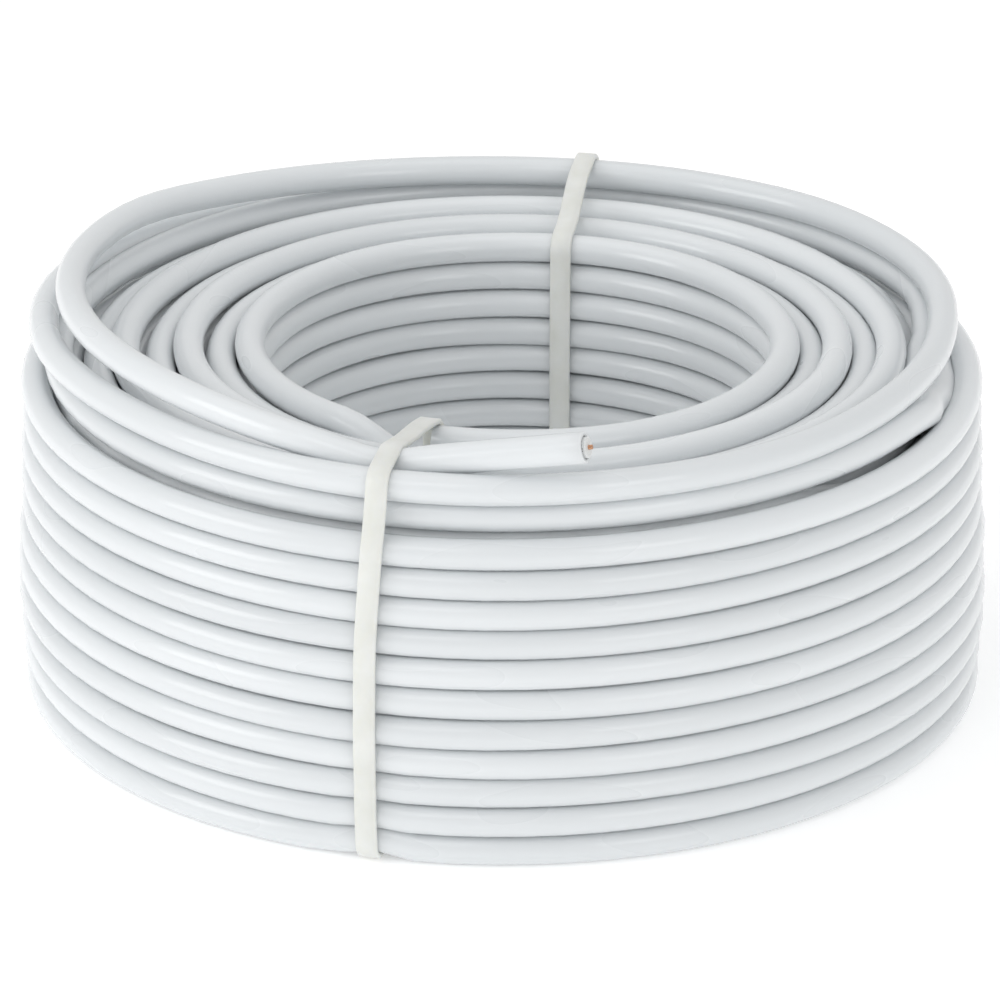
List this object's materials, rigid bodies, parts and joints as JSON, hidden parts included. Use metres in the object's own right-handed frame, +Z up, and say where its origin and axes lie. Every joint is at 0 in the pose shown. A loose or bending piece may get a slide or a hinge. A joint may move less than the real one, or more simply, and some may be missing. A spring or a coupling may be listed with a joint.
{
  "type": "coaxial cable coil",
  "caption": "Round coil of coaxial cable standing on its end, with an open bore, held by two cable ties, one cut end free.",
  "frame": {"origin": "on the floor under the middle of the coil, at the bottom centre of its bounding box", "axes": "+Z up along the axis of the bore; -Y is the side of the front tie, and +X is to the right seen from there"},
  "size_m": [0.2195, 0.2219, 0.0998],
  "materials": {
    "jacket": "smooth glossy PVC",
    "dielectric": "cut foam polyethylene",
    "conductor": "cut copper wire",
    "tie": "translucent nylon"
  },
  "bodies": {
    "root": {"cable_coil": "jacket", "cable_last_turn": "jacket", "dielectric_end": "dielectric", "conductor_end": "conductor", "tie_front": "tie", "tie_back": "tie"}
  },
  "joints": []
}
